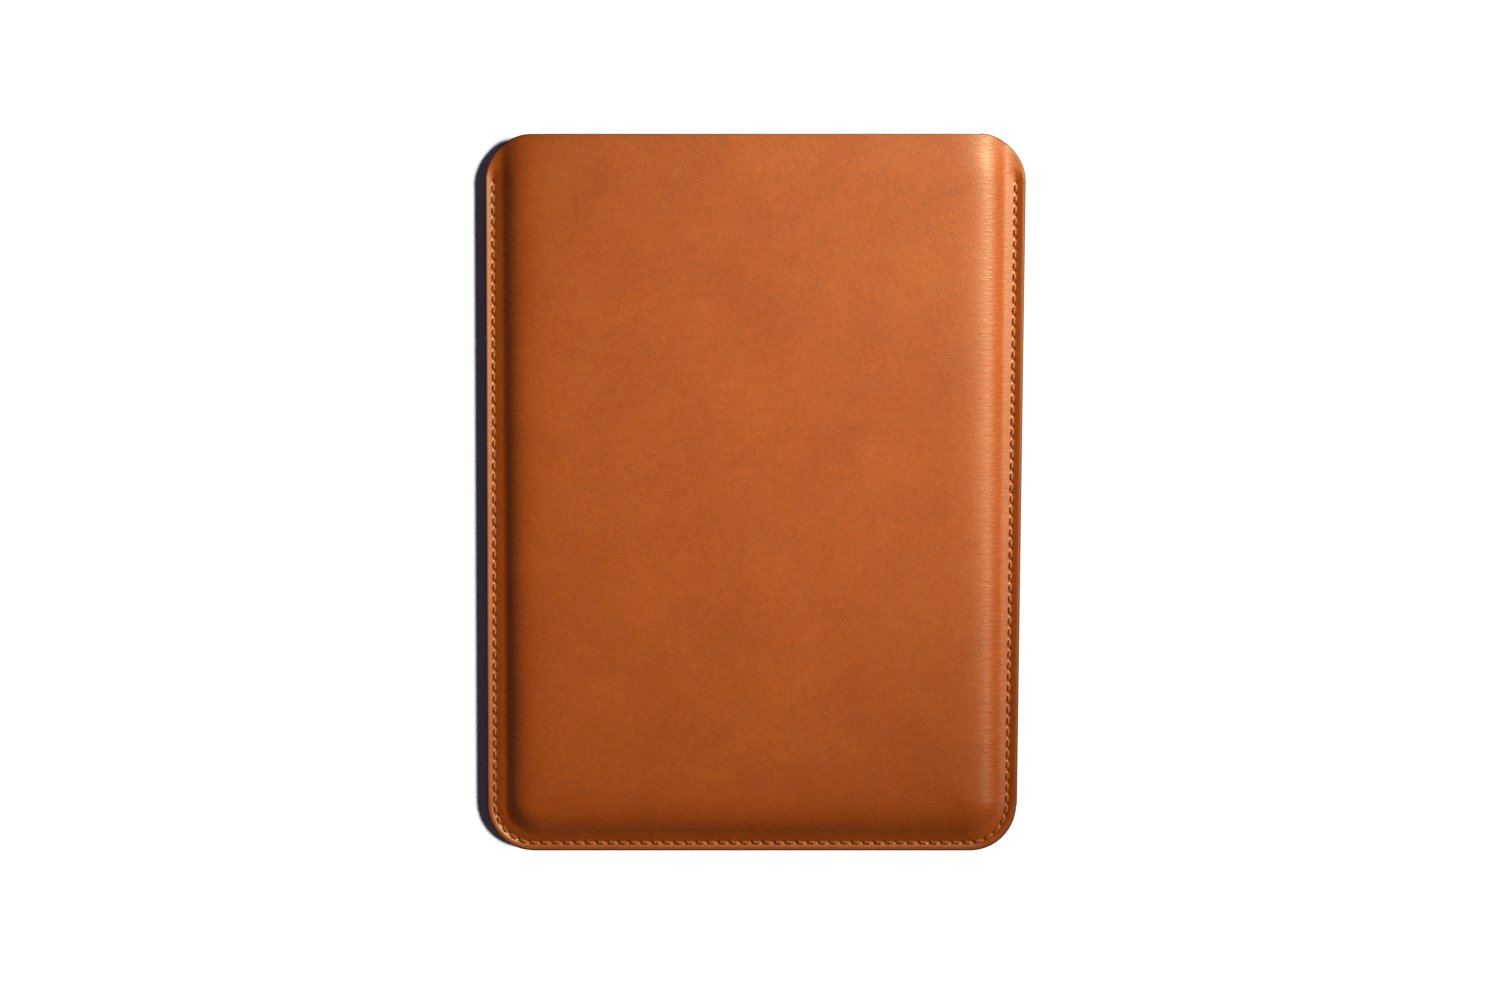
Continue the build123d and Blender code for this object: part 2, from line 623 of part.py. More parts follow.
def power_button():
    """Key cap in the end wall, with the flange that keeps it in and the post that meets the switch."""
    cap = end_slot(BUTTON_WIDTH, BUTTON_HEIGHT, BUTTON_X, BUTTON_Z, FLANGE_Y, HALF_L + BUTTON_PROUD)
    cap = fillet(cap.faces().sort_by(Axis.Y)[-1].edges(), BUTTON_EDGE_R)
    flange_width, flange_height, flange_t = BUTTON_FLANGE
    stem_y = FLANGE_Y - flange_t
    flange = end_slot(flange_width, flange_height, BUTTON_X, BUTTON_Z, stem_y, FLANGE_Y)
    stem_width, stem_height, stem_length = BUTTON_STEM
    stem = end_slot(stem_width, stem_height, BUTTON_X, BUTTON_Z, stem_y - stem_length, stem_y)
    return cap + flange + stem


def power_switch():
    """Side-push tactile switch on the board's edge."""
    plunger_y = SWITCH_Y + (SWITCH_SIZE[1] + PLUNGER[1]) / 2
    body = slab(*SWITCH_SIZE, BOARD_TOP, x=BUTTON_X, y=SWITCH_Y)
    return body + Pos(BUTTON_X, plunger_y, BUTTON_Z) * Box(*PLUNGER)


def light_pipe():
    """Clear rod that carries the status light to the end face."""
    return end_slot(2 * LIGHT_R, 2 * LIGHT_R, LIGHT_X, BUTTON_Z, LIGHT_PIPE_START, HALF_L - WALL_GAP)


def in_reader(shape):
    """Puts a reader shape into the row frame."""
    return Pos(0, 0, READER_Z) * shape


SLEEVE_NODES = {
    "front_panel": in_sleeve(leather_panel()),
    "back_panel": in_sleeve(leather_panel(), back=True),
    "front_lining": in_sleeve(felt_lining()),
    "back_lining": in_sleeve(felt_lining(), back=True),
    "front_stitching": in_sleeve(stitching()),
    "back_stitching": in_sleeve(stitching(), back=True),
}

READER_NODES = {
    "rear_cover": rear_cover(),
    "lens_gasket": lens_gasket(),
    "cover_lens": cover_lens(),
    "bezel_mask": bezel_mask(),
    "touch_sensor": span_slab(TOUCH, TOUCH_T, TOUCH_Z, 2),
    "upper_adhesive": span_slab(FILM, OPTICAL_T, UPPER_ADHESIVE_Z, 1),
    "light_guide": span_slab(LIGHT_GUIDE, LIGHT_GUIDE_T, LIGHT_GUIDE_Z, 1),
    "lower_adhesive": span_slab(FILM, OPTICAL_T, LOWER_ADHESIVE_Z, 1),
    "led_strip": led_strip(),
    "front_light_leds": front_light_leds(),
    "eink_film": span_slab(FILM, FILM_T, FILM_Z, 1),
    "display_backplane": span_slab(BACKPLANE, BACKPLANE_T, BACKPLANE_Z, 1),
    "display_driver": slab(*DISPLAY_DRIVER, FILM_Z, x=DISPLAY_DRIVER_AT[0], y=DISPLAY_DRIVER_AT[1]),
    "display_tape": display_tape(),
    "display_flex": ribbon(DISPLAY_FLEX),
    "touch_flex": ribbon(TOUCH_FLEX),
    "mid_frame": mid_frame(),
    "frame_screws": frame_screws(),
    "main_board": main_board(),
    "board_screws": board_screws(),
    "processor": chip(*PROCESSOR),
    "memory_chips": group(chip(*package) for package in MEMORY_CHIPS),
    "power_chip": chip(*POWER_CHIP),
    "shield_frame": shield_frame(),
    "shield_lid": shield_lid(),
    "wireless_module": wireless_module(),
    "board_passives": board_passives(),
    "board_connectors": board_connectors(),
    "hall_sensor": chip(*HALL_SENSOR),
    "antenna_flex": antenna_flex(),
    "battery_cell": battery_cell(),
    "battery_board": battery_board(),
    "battery_lead": battery_lead(),
    "battery_tape": battery_tape(),
    "usb_shell": usb_shell(),
    "usb_insulator": usb_insulator(),
    "usb_contacts": usb_contacts(),
    "usb_seal": usb_seal(),
    "power_button": power_button(),
    "power_switch": power_switch(),
    "status_led": chip(*STATUS_LED),
    "light_pipe": light_pipe(),
}

os.makedirs("parts", exist_ok=True)
for node, shape in SLEEVE_NODES.items():
    export_step(shape, f"parts/{node}.step")
for node, shape in READER_NODES.items():
    export_step(in_reader(shape), f"parts/{node}.step")
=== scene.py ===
"""Seven-inch e-reader in its stitched leather slip sleeve, seen from straight above.

The sleeve's panels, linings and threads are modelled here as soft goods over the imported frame.
The reader keeps its CAD parts, with its display and lens drawn as the bonded stack they look like.
Lengths in this script are millimetres until a mesh is made; MM turns them into metres.
"""
import json
import math

import bpy
import numpy as np
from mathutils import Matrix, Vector


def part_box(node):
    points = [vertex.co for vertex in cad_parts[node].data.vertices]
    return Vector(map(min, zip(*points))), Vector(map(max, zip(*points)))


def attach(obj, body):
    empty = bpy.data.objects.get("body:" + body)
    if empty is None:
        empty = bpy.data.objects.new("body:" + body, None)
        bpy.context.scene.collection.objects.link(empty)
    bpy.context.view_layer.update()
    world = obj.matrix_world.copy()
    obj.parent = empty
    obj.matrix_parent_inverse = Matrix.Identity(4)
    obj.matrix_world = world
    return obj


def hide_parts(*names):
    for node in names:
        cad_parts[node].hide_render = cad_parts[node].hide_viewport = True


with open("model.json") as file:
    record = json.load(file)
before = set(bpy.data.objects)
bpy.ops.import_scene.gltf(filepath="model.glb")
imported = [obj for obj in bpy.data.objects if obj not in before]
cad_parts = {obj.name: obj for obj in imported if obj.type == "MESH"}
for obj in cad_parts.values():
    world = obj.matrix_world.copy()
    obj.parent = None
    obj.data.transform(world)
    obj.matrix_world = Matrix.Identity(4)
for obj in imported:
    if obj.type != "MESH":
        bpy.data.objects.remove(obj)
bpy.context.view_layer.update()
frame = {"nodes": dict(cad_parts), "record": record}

MM = 0.001


def node_box(node):
    """A CAD node's corners at rest, in millimetres."""
    low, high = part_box(node)
    return np.array(low) / MM, np.array(high) / MM


PANEL_LOW, PANEL_HIGH = node_box("front_panel")
COVER_LOW, COVER_HIGH = node_box("rear_cover")

# Levels above the seam plane, where the two linings meet.
SEAM_Z = node_box("front_lining")[0][2]
PLATEAU = PANEL_HIGH[2] - SEAM_Z
SEAM_FELT = PANEL_LOW[2] - SEAM_Z
LEATHER = 1.4
FELT = 0.9
FLANGE = SEAM_FELT + LEATHER

# The hand-cut outline is a little wider at the right of the mouth than the pattern.
HALF_LENGTH = PANEL_HIGH[1]
LEFT_MOUTH, LEFT_BASE = 71.75, 71.05
RIGHT_MOUTH, RIGHT_BASE = 72.95, 70.25
CORNER_R = 12.5

# The crease round the moulded pocket: tight to the reader at the base, looser at the mouth.
READER_HALF_W = COVER_HIGH[0]
CREASE_MOUTH = READER_HALF_W + 4.1
CREASE_BASE = READER_HALF_W + 2.5
CREASE_END = COVER_LOW[1] - 3.8
CREASE_CORNER_R = 9.0
SHOULDER_TIGHT, SHOULDER_LOOSE, SHOULDER_MOUTH = 0.80, 0.88, 1.12
SHOULDER_END = 1.12
MOUTH_SAG = 0.18         # how far the unbacked leather settles at the mouth
MOUTH_ZONE = 12.0        # length of leather past the reader's end that relaxes
MOUTH_LEATHER, MOUTH_FELT = 1.0, 0.5
READER_CORNER_R, READER_EDGE_R = 7.0, 1.8
READER_PLAY = 0.15       # air beside the reader where the felt is pressed flat
GLUE = 0.04
TWIN_GAP = 0.01          # half of the gap between the two felts in the seam
FELT_SETBACK = 0.45
STEEPEST = 1.2           # steepest slope that still thickens a layer measured upright
BASE_BLEND = 5.0         # half width of the change from side shoulder to end shoulder at a corner
TABLE_STEP = 0.02

# Slow waves in the leather: length, direction in radians, depth. They start part-way up the shoulder.
WAVES = ((31, 0.3, 0.05), (47, 1.9, 0.06), (23, 2.6, 0.03), (68, 1.1, 0.07))
WAVE_PHASE = 2.1
WAVE_START = 0.3

# Slope of the leather, in degrees, against the distance inwards from the crease.
SHOULDER_SLOPES = (
    (-4.0, 0), (-3.0, 5), (-2.0, 12), (-1.2, 22), (-0.5, 36), (0.2, 45), (1.0, 47), (1.9, 44), (2.8, 38),
    (3.7, 31), (4.7, 23), (5.9, 15.5), (7.3, 10), (9.0, 5.5), (11.5, 2.5), (15.0, 0.8), (20.0, 0),
)

STITCH_INSET = 2.2
SEAM_DRIFT = (0.0, 0.0, 0.45, 0.0)   # how much further in the seam runs: left, base, right, mouth
SEAM_FADE = 4.0          # length over which the seam's relief fades past its ends
STITCH_PITCH = 2.96
STEPS_PER_STITCH = 8
GROOVE_DEPTH = 0.45
LIP_AT_BASE = 0.15       # the lip lies flatter round the base than along the sides
LIP_ZONE = (8.0, 22.0)   # distances up from the base over which the lip reaches its full height
HOLE_DEPTH = 0.45
HOLE_REACH = 0.55

# Height of the sewn flange against the distance in from its edge: raised lip, pulled-down seam.
SEAM_RELIEF = (
    (0, 0.20), (0.3, 0.36), (0.6, 0.34), (1.1, 0.08), (1.6, -0.26), (2.0, -GROOVE_DEPTH),
    (2.4, -GROOVE_DEPTH), (2.9, -0.32), (3.5, -0.12), (4.2, 0),
)
RELIEF_BLUR = 0.25       # half width over which the relief is averaged

# Each stitch is two plies wound round each other, in shares of the pitch or of the thread's radius.
THREAD_R = 0.34
STITCH_HALF = 0.31
STITCH_SLANT = 0.16
STITCH_ARCH = 0.34
STITCH_DIVE = 0.75
STITCH_LIFT = 0.02
STITCH_SPREAD = 0.03
PHASE_SPREAD = 20
WIND_TURNS = 1.35
PLY_OFFSET = 0.46
PLY_R = 0.6
PLY_STEPS = 15
PLY_SIDES = 7
FRONT_SEED, BACK_SEED = 3, 7


# ---- Meshes and modifiers ----

def mesh_object(name, points, faces, smooth=True):
    """Object with these points, given in millimetres in the row frame."""
    mesh = bpy.data.meshes.new(name)
    mesh.from_pydata((np.asarray(points, float) * MM).tolist(), [], faces)
    mesh.validate()
    mesh.update()
    if smooth:
        mesh.polygons.foreach_set("use_smooth", [True] * len(mesh.polygons))
    piece = bpy.data.objects.new(name, mesh)
    bpy.context.scene.collection.objects.link(piece)
    return piece


def paint(piece, name, values):
    """Stores one number per point, for the material to read."""
    layer = piece.data.attributes.new(name, "FLOAT", "POINT")
    layer.data.foreach_set("value", np.asarray(values, np.float32))


def smoothstep(low, high, x):
    """0 below low, 1 above high, smooth between."""
    t = np.clip((x - low) / (high - low), 0, 1)
    return t * t * (3 - 2 * t)


def bump(x, centre, half_width):
    """Smooth hump of height 1."""
    u = np.clip(np.abs(x - centre) / half_width, 0, 1)
    return (1 - u * u) ** 2


# ---- The sleeve's plan ----

def inset_corners(inset):
    """Corners of the outline moved inwards: mouth left, base left, base right, mouth right."""
    corners = np.array([
        (-LEFT_MOUTH, HALF_LENGTH), (-LEFT_BASE, -HALF_LENGTH),
        (RIGHT_BASE, -HALF_LENGTH), (RIGHT_MOUTH, HALF_LENGTH),
    ])
    along = np.roll(corners, -1, axis=0) - corners
    along /= np.linalg.norm(along, axis=1)[:, None]
    inward = np.stack([-along[:, 1], along[:, 0]], axis=1)
    steps = inset + np.array(SEAM_DRIFT) * min(inset / STITCH_INSET, 1)
    moved = []
    for i in range(4):
        before = i - 1
        sides = np.array([along[before], -along[i]]).T
        gap = inward[i] * steps[i] - inward[before] * steps[before]
        reach = np.linalg.solve(sides, gap)[0]
        moved.append(corners[i] + inward[before] * steps[before] + along[before] * reach)
    return np.array(moved), along, inward


class Plan:
    """Loops round the sleeve that share one set of stations, so that they join into rings."""

    smallest_corner = 2.5
    direction_reach = 0.4

    def __init__(self):
        fine = STITCH_PITCH / STEPS_PER_STITCH
        points = inset_corners(STITCH_INSET)[0]
        radius = CORNER_R - STITCH_INSET
        self.side_steps, self.arc_steps = [], []
        for i in range(4):
            side = np.linalg.norm(points[(i + 1) % 4] - points[i]) - 2 * radius
            step = fine if i != 3 else 2 * fine
            self.side_steps.append(4 * round(side / step / 4))
            self.arc_steps.append(4 * round(radius * math.pi / 2 / fine / 4))
        seam = self.loop(STITCH_INSET)
        ahead = np.roll(seam, -1, axis=0) - seam
        walked = np.concatenate([[0], np.cumsum(np.linalg.norm(ahead, axis=1))])
        self.walk = walked[:-1]
        stitched_steps = sum(self.side_steps[:3]) + self.arc_steps[1] + self.arc_steps[2]
        self.seam_length = walked[stitched_steps]
        self.count = round(self.seam_length / STITCH_PITCH)
        self.pitch = self.seam_length / self.count
        self.seam, self.seam_end = seam, stitched_steps
        self.lip = LIP_AT_BASE + (1 - LIP_AT_BASE) * smoothstep(*LIP_ZONE, seam[:, 1] + HALF_LENGTH)

    def loop(self, inset):
        """Closed loop at this inset: left side down, base, right side up, mouth."""
        points, along, inward = inset_corners(inset)
        radius = max(CORNER_R - inset, self.smallest_corner)
        out = []
        for i in range(4):
            start = points[i] + along[i] * radius
            end = points[(i + 1) % 4] - along[i] * radius
            steps = self.side_steps[i]
            out.append(start + (end - start) * (np.arange(steps) / steps)[:, None])
            centre = end + inward[i] * radius
            turn = (i + 1) % 4
            first = math.atan2(-inward[i][1], -inward[i][0])
            last = math.atan2(-inward[turn][1], -inward[turn][0])
            last += 2 * math.pi if last < first else 0
            angle = first + (last - first) * np.arange(self.arc_steps[turn]) / self.arc_steps[turn]
            out.append(centre + radius * np.stack([np.cos(angle), np.sin(angle)], axis=1))
        return np.concatenate(out)

    def sewn(self):
        """1 where the seam runs, fading to 0 just past its ends."""
        halfway_back = (self.seam_length + self.walk[-1]) / 2
        walked = np.where(self.walk > halfway_back, self.walk - self.walk[-1], self.walk)
        return smoothstep(-SEAM_FADE, 0, self.seam_length - walked) * smoothstep(-SEAM_FADE, 0, walked)

    def at(self, s):
        """Place and direction on the stitch line at distance s from its left end."""
        line = self.seam[: self.seam_end + 1]
        walk = self.walk[: self.seam_end + 1]

        def place(distance):
            return np.stack([np.interp(distance, walk, line[:, k]) for k in (0, 1)], axis=-1)

        way = place(s + self.direction_reach) - place(s - self.direction_reach)
        return place(s), way / np.linalg.norm(way, axis=-1, keepdims=True)


plan = Plan()


# ---- Heights of the moulded leather ----

def shoulder_table():
    """Share of the full rise, and slope per unit of rise, against distance from the crease."""
    knots = np.array(SHOULDER_SLOPES, float)
    t = np.arange(knots[0, 0], knots[-1, 0], TABLE_STEP)
    slope = np.tan(np.radians(np.interp(t, knots[:, 0], knots[:, 1])))
    rise = np.concatenate([[0], np.cumsum((slope[1:] + slope[:-1]) / 2 * TABLE_STEP)])
    return t, rise / rise[-1], slope / rise[-1]


SHOULDER_T, SHOULDER_RISE, SHOULDER_SLOPE = shoulder_table()


def mouth_share(y):
    """0 over the reader, 1 at the mouth."""
    return smoothstep(HALF_LENGTH - MOUTH_ZONE, HALF_LENGTH, y)


def crease_distance(x, y):
    """Distance inwards from the crease, and how far that place belongs to the base end."""
    towards_mouth = (y + HALF_LENGTH) / (2 * HALF_LENGTH)
    half = CREASE_BASE + (CREASE_MOUTH - CREASE_BASE) * towards_mouth
    side, end, r = half - np.abs(x), y - CREASE_END, CREASE_CORNER_R
    rounded = r - np.hypot(r - side, r - end)
    distance = np.where((side < r) & (end < r), rounded, np.minimum(side, end))
    return distance, smoothstep(-BASE_BLEND, BASE_BLEND, side - end)


def pocket_height(x, y, waves):
    """Outer height of the leather above the seam plane, with its slope."""
    distance, at_base = crease_distance(x, y)
    towards_mouth = (y + HALF_LENGTH) / (2 * HALF_LENGTH)
    side_width = SHOULDER_TIGHT + (SHOULDER_LOOSE - SHOULDER_TIGHT) * towards_mouth
    width = side_width + (SHOULDER_END - side_width) * at_base
    width = width + (SHOULDER_MOUTH - SHOULDER_LOOSE) * mouth_share(y)
    t = distance / width
    top = PLATEAU - MOUTH_SAG * mouth_share(y)
    rise = np.interp(t, SHOULDER_T, SHOULDER_RISE)
    slope = np.interp(t, SHOULDER_T, SHOULDER_SLOPE, 0, 0) * (top - FLANGE) / width
    height = FLANGE + (top - FLANGE) * rise
    if waves:
        height = height - undulation(x, y) * smoothstep(WAVE_START, 1.0, rise)
    return height, slope


def undulation(x, y):
    """Depth of the slow waves, which never rise above the moulded plane."""
    total = 0.0
    for i, (length, turn, depth) in enumerate(WAVES):
        along = x * math.cos(turn) + y * math.sin(turn)
        total = total + depth * (1 + np.sin(along * 2 * math.pi / length + WAVE_PHASE * i)) / 2
    return total


def skin(x, y, slope, at_mouth, inside):
    """Upright thickness of a layer that is at_mouth thick there and inside thick elsewhere."""
    thick = inside + (at_mouth - inside) * mouth_share(y)
    return thick * np.sqrt(1 + np.minimum(slope, STEEPEST) ** 2)


def leather_levels(x, y, waves):
    """Outer and inner height of a leather panel, with its slope."""
    outer, slope = pocket_height(x, y, waves)
    inner = np.maximum(outer - skin(x, y, slope, MOUTH_LEATHER, LEATHER), SEAM_FELT)
    return outer, inner, slope


def felt_levels(x, y):
    """Outer and inner height of a felt lining; it meets its twin on the seam plane."""
    _, leather_inner, slope = leather_levels(x, y, False)
    outer = leather_inner - GLUE
    inner = outer - skin(x, y, slope, MOUTH_FELT, FELT)
    clear_of_reader = np.maximum(inner, reader_face(x, y) + GLUE)
    return outer, np.maximum(clear_of_reader, TWIN_GAP)


def reader_face(x, y):
    """Height of the reader's rounded front edge, which presses the felt flat; 0 beside the reader."""
    side = READER_HALF_W + READER_PLAY - np.abs(x)
    end = y - COVER_LOW[1] + READER_PLAY
    rounded = READER_CORNER_R - np.hypot(READER_CORNER_R - side, READER_CORNER_R - end)
    in_corner = (side < READER_CORNER_R) & (end < READER_CORNER_R)
    inwards = np.where(in_corner, rounded, np.minimum(side, end))
    reach = np.clip(READER_EDGE_R - inwards, 0, READER_EDGE_R)
    face = COVER_HIGH[2] - SEAM_Z - READER_EDGE_R + np.sqrt(READER_EDGE_R ** 2 - reach ** 2)
    return np.where(inwards > 0, face, 0)


def sewn_relief(inset, share):
    """Lip, thread groove and needle holes across the flange, at every station."""
    near = inset + np.linspace(-RELIEF_BLUR, RELIEF_BLUR, 11)
    across, height = np.array(SEAM_RELIEF).T
    profile = np.interp(near, across, height).mean()
    if profile > 0:
        profile = profile * plan.lip
    phase = (plan.walk / plan.pitch + 0.5) % 1 - 0.5
    hole = bump(phase * plan.pitch, 0, HOLE_REACH) * bump(inset, STITCH_INSET, HOLE_REACH)
    return share * (profile - HOLE_DEPTH * hole)


# ---- Ring meshes ----

def join_rings(faces, outer, inner):
    """Faces between two closed rings of point numbers; the inner may have half as many."""
    count = len(outer)
    if len(inner) == count:
        for i in range(count):
            j = (i + 1) % count
            faces.append((outer[i], outer[j], inner[j], inner[i]))
        return
    for i in range(len(inner)):
        j = (i + 1) % len(inner)
        a, b, c = outer[2 * i], outer[2 * i + 1], outer[(2 * i + 2) % count]
        faces.append((a, b, inner[i]))
        faces.append((b, c, inner[j], inner[i]))


def close_ring(faces, ring, sides):
    """Fills the last, long thin ring with strips from its left side to its right side."""
    left, base, right = sides
    span = min(left, right)
    start = left + base
    count = len(ring)
    for i in range(span):
        a, b = ring[i], ring[i + 1]
        c, d = ring[(start + right - i - 1) % count], ring[(start + right - i) % count]
        faces.append((a, b, c, d))
    faces.append(tuple(ring[span:start + right - span + 1]))
    faces.append(tuple(ring[start + right:]) + (ring[0],))


# Distances in from the edge of the outer face's rings; the inner ones have fewer points on them.
TOP_RINGS = (
    0.62, 0.85, 1.1, 1.35, 1.55, 1.75, 1.95, 2.15, 2.35, 2.55, 2.8, 3.05, 3.35, 3.7, 4.05, 4.4, 4.75,
    5.1, 5.45, 5.8, 6.15, 6.5, 6.9, 7.3, 7.75, 8.25, 8.8, 9.4, 10.1, 10.9, 12.0,
)
HALF_RINGS = (13.4, 15.0, 17.0, 19.5)
QUARTER_RINGS = (22.5, 26, 30, 35, 41, 48, 55, 62, 67)

# Round the cut edge: distance in, and height as a share of the thickness. Then the inner face's rings.
EDGE_RINGS = ((0.10, 0.0), (0.02, 0.12), (0.0, 0.32), (0.0, 0.62), (0.05, 0.82), (0.16, 0.94), (0.36, 1.0))
INNER_RINGS = (1.2, 2.6, 4.0, 5.0, 5.8, 6.6, 7.4, 8.3, 9.4, 11.0, 13.0)
INNER_QUARTER = (16.0, 20, 26, 34, 44, 55, 67)
RIM_TONE = 0.7           # share of the edge colour on the last ring before the outer face


class RingSolid:
    """Closed sheet with thickness, built of rings from its cut edge to the middle of each face."""

    def __init__(self, setback):
        self.setback = setback
        self.points, self.faces, self.edge, self.inside = [], [], [], []

    def add(self, inset, share, height, edge, inside):
        """One ring; share is 1, 2 or 4 for how many stations each point stands for."""
        plan_points = plan.loop(inset + self.setback)[::share]
        z = height(plan_points[:, 0], plan_points[:, 1], share)
        first = len(self.points)
        self.points += np.column_stack([plan_points, z]).tolist()
        self.edge += [edge] * len(plan_points)
        self.inside += [inside] * len(plan_points)
        return list(range(first, first + len(plan_points)))

    def strip(self, rings, flip):
        """Joins rings in order, from the edge inwards."""
        made = []
        for a, b in zip(rings, rings[1:]):
            join_rings(made, a, b)
        share = round(len(plan.walk) / len(rings[-1]))
        close_ring(made, rings[-1], self.sides(share))
        self.faces += [face[::-1] for face in made] if flip else made

    def sides(self, share):
        """Station counts of the left side with its corner, the base with its corner, and the right side."""
        side, arc = plan.side_steps, plan.arc_steps
        return side[0] // share, (arc[1] + side[1] + arc[2]) // share, side[2] // share


def sheet_solid(name, levels, relief, setback, mirror_z):
    """Leather panel or felt lining from its outer and inner heights."""
    solid = RingSolid(setback)

    def inner(x, y, share):
        return levels(x, y)[1]

    def wall(inset, mix):
        def height(x, y, share):
            high, low = levels(x, y)
            return low + (high + relief(inset)[::share] - low) * mix
        return height

    edge = [
        solid.add(inset, 1, wall(inset, mix), 1.0 if mix < 1 else RIM_TONE, 0.0)
        for inset, mix in EDGE_RINGS
    ]
    top = []
    for share, insets in ((1, TOP_RINGS), (2, HALF_RINGS), (4, QUARTER_RINGS)):
        top += [solid.add(inset, share, wall(inset, 1.0), 0.0, 0.0) for inset in insets]
    under = [solid.add(inset, 2, inner, 0.0, 1.0) for inset in INNER_RINGS]
    under += [solid.add(inset, 4, inner, 0.0, 1.0) for inset in INNER_QUARTER]
    solid.strip(edge + top, False)
    solid.strip([edge[0]] + under, True)
    points = np.array(solid.points)
    points[:, 2] = SEAM_Z + (-points[:, 2] if mirror_z else points[:, 2])
    faces = [face[::-1] for face in solid.faces] if mirror_z else solid.faces
    piece = mesh_object(name, points, faces)
    paint(piece, "edge", solid.edge)
    paint(piece, "bend", np.clip(pocket_height(points[:, 0], points[:, 1], False)[1], 0, 1))
    paint(piece, "inside", solid.inside)
    return piece


def leather_panel(name, back):
    """Moulded leather with its sewn flange."""
    share = plan.sewn()

    def levels(x, y):
        return leather_levels(x, y, not back)[:2]

    return sheet_solid(name, levels, lambda inset: sewn_relief(inset, share), 0.0, back)


def felt_lining(name, back):
    """Felt glued inside the leather."""
    flat = np.zeros(len(plan.walk))
    return sheet_solid(name, felt_levels, lambda inset: flat, FELT_SETBACK, back)


# ---- Thread ----

def stitch_path(middle, lean):
    """Middle line of the stitch at this distance along the seam, with its side and up directions."""
    u = np.linspace(-1, 1, PLY_STEPS)
    place, way = plan.at(middle + plan.pitch * STITCH_HALF * u)
    across = np.stack([-way[:, 1], way[:, 0]], axis=1)
    xy = place + across * (STITCH_SLANT + lean[0]) * (-u[:, None])
    base = pocket_height(xy[:, 0], xy[:, 1], False)[0] - GROOVE_DEPTH
    arch = (STITCH_ARCH + lean[1]) * (1 - u ** 2) - STITCH_DIVE * np.abs(u) ** 7 + STITCH_LIFT
    path = np.column_stack([xy, base + arch])
    side = np.column_stack([across, np.zeros(PLY_STEPS)])
    up = np.cross(side, np.gradient(path, axis=0))
    up /= np.linalg.norm(up, axis=1)[:, None]
    up *= np.sign(up[:, 2:3] + 1e-9)
    return path, side, up


def tube_faces(first):
    """Faces of one closed tube whose points start at this number."""
    faces = []
    for a in range(first, first + (PLY_STEPS - 1) * PLY_SIDES, PLY_SIDES):
        for b in range(PLY_SIDES):
            c = (b + 1) % PLY_SIDES
            faces.append((a + b, a + c, a + PLY_SIDES + c, a + PLY_SIDES + b))
    last = first + (PLY_STEPS - 1) * PLY_SIDES
    faces.append(tuple(first + b for b in range(PLY_SIDES))[::-1])
    faces.append(tuple(last + b for b in range(PLY_SIDES)))
    return faces


def wound(path, side, up, phase):
    """Points of one ply's tube round a path."""
    wind = phase + WIND_TURNS * 2 * math.pi * np.arange(PLY_STEPS) / (PLY_STEPS - 1)
    centre = path + THREAD_R * PLY_OFFSET * (np.cos(wind)[:, None] * side + np.sin(wind)[:, None] * up)
    angle = (2 * math.pi * np.arange(PLY_SIDES) / PLY_SIDES)[None, :, None]
    around = np.cos(angle) * side[:, None, :] + np.sin(angle) * up[:, None, :]
    return (centre[:, None, :] + THREAD_R * PLY_R * around).reshape(-1, 3)


def stitch_row(name, back):
    """All stitches on one face, each a short two-ply bar that dives into its needle holes."""
    random = np.random.default_rng(BACK_SEED if back else FRONT_SEED)
    points, faces = [], []
    for i in range(plan.count):
        lean = random.normal(0, STITCH_SPREAD, 3)
        path, side, up = stitch_path((i + 0.5) * plan.pitch, lean)
        for phase in (0, math.pi):
            faces += tube_faces(len(points))
            points += wound(path, side, up, phase + lean[2] * PHASE_SPREAD).tolist()
    points = np.array(points)
    points[:, 2] = SEAM_Z + (-points[:, 2] if back else points[:, 2])
    if not back:
        faces = [face[::-1] for face in faces]
    return mesh_object(name, points, faces)


# ---- Materials ----

